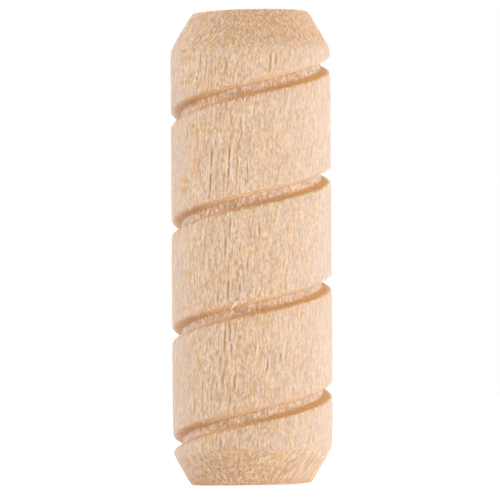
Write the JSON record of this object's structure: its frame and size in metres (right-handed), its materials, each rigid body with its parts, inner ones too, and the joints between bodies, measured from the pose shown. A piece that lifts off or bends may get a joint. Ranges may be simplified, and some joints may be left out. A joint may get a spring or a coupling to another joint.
{
  "type": "spiral groove dowel pin",
  "caption": "Short birch dowel pin with a helical glue groove along its side and a chamfer at each end.",
  "frame": {"origin": "centre of the lower end face", "axes": "+Z along the pin's axis, up to the other end; -Y is the side that the picture shows, and +X is its right"},
  "size_m": [0.0102, 0.0102, 0.03],
  "materials": {
    "birch": "bare milled wood"
  },
  "bodies": {
    "root": {"dowel_pin": "birch"}
  },
  "joints": []
}
